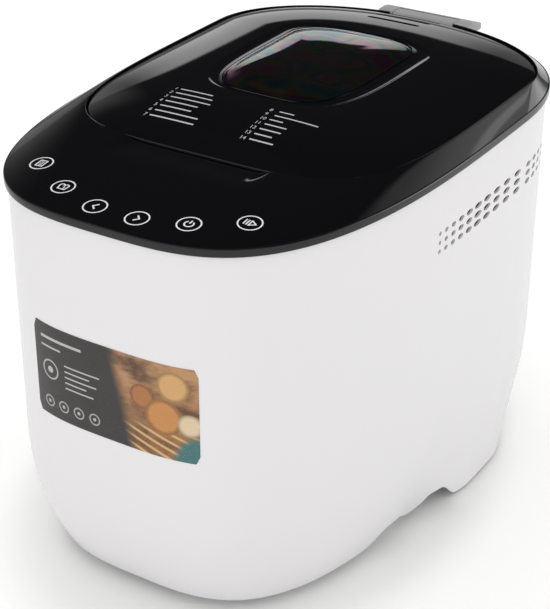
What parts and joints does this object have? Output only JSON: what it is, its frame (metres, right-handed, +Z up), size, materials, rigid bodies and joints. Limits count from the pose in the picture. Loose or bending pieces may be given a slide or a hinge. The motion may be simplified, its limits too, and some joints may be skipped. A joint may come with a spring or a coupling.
{
  "type": "bread machine",
  "caption": "Countertop bread machine with a tub housing, touch panel, hinged windowed lid, baking chamber, twist-lock pan and belt-driven kneading paddle.",
  "frame": {"origin": "middle of the base on the surface that the feet rest on", "axes": "+X to the right seen from the front, +Y to the back, +Z up; the front faces -Y"},
  "size_m": [0.2426, 0.3716, 0.2656],
  "materials": {
    "housing_white": "gloss",
    "base_white": "satin",
    "foot_rubber": "matte",
    "screw_steel": "satin",
    "inlet_plastic": "matte",
    "trim_black": "satin",
    "frame_black": "gloss",
    "board_green": "satin",
    "pad_metal": "satin",
    "hinge_grey": "satin",
    "pin_steel": "polished",
    "lid_black": "gloss",
    "window_clear": "clear",
    "liner_metal": "satin",
    "glass_clear": "clear",
    "seal_grey": "matte",
    "chamber_metal": "satin",
    "heater_sheath": "satin",
    "seat_metal": "cast",
    "pan_coating": "non-stick coated",
    "bush_bronze": "satin",
    "wire_steel": "satin",
    "shaft_steel": "satin",
    "paddle_coating": "non-stick coated",
    "pulley_black": "satin",
    "belt_rubber": "matte",
    "motor_zinc": "satin",
    "bracket_zinc": "satin",
    "board_brown": "satin",
    "parts_dark": "satin",
    "label_film": "satin"
  },
  "bodies": {
    "base": {"body_shell": "housing_white", "base_plate": "base_white", "base_feet": "foot_rubber", "base_screws": "screw_steel", "cord_inlet": "inlet_plastic", "trim_ring": "trim_black", "top_frame": "frame_black", "touch_board": "board_green", "touch_pads": "pad_metal", "hinge_block": "hinge_grey", "hinge_pin": "pin_steel", "chamber": "chamber_metal", "heater_tube": "heater_sheath", "heater_clips": "bracket_zinc", "temp_probe": "pin_steel", "pan_seat": "seat_metal", "drive_bearing": "seat_metal", "drive_belt": "belt_rubber", "motor": "motor_zinc", "motor_bracket": "bracket_zinc", "power_board": "board_brown", "board_parts": "parts_dark", "front_label": "label_film"},
    "lid": {"lid_shell": "lid_black", "lid_window": "window_clear", "lid_liner": "liner_metal", "inner_glass": "glass_clear", "lid_seal": "seal_grey", "lid_screws": "screw_steel"},
    "pan": {"bread_pan": "pan_coating", "pan_base": "seat_metal", "pan_bush": "bush_bronze", "bail_ears": "wire_steel"},
    "bail": {"bail": "wire_steel"},
    "paddle": {"paddle_shaft": "shaft_steel", "driven_wing": "seat_metal", "kneading_paddle": "paddle_coating"},
    "drive": {"drive_shaft": "shaft_steel", "drive_coupler": "seat_metal", "big_pulley": "pulley_black"},
    "rotor": {"motor_shaft": "shaft_steel", "motor_pulley": "bracket_zinc"}
  },
  "joints": [
    {"name": "lid_hinge", "type": "hinge", "parent": "base", "child": "lid", "pos_m": [0, 0.173, 0.2445], "axis": [-1, 0, 0], "range_deg": [0, 85]},
    {"name": "pan_twist", "type": "hinge", "parent": "base", "child": "pan", "pos_m": [0, 0.032, 0.0592], "axis": [0, 0, 1], "range_deg": [0, 12]},
    {"name": "bail_hinge", "type": "hinge", "parent": "pan", "child": "bail", "pos_m": [0, 0.032, 0.209], "axis": [1, 0, 0], "range_deg": [0, 18]},
    {"name": "drive_spin", "type": "hinge", "parent": "base", "child": "drive", "pos_m": [0, 0.032, 0.028], "axis": [0, 0, 1], "continuous": true},
    {"name": "paddle_spin", "type": "hinge", "parent": "pan", "child": "paddle", "pos_m": [0, 0.032, 0.08], "axis": [0, 0, 1], "continuous": true},
    {"name": "motor_spin", "type": "hinge", "parent": "base", "child": "rotor", "pos_m": [0, -0.1215, 0.028], "axis": [0, 0, 1], "continuous": true}
  ],
  "couplings": [
    {"joint": "paddle_spin", "follows": "drive_spin", "ratio": 1},
    {"joint": "motor_spin", "follows": "drive_spin", "ratio": 5.7778}
  ]
}
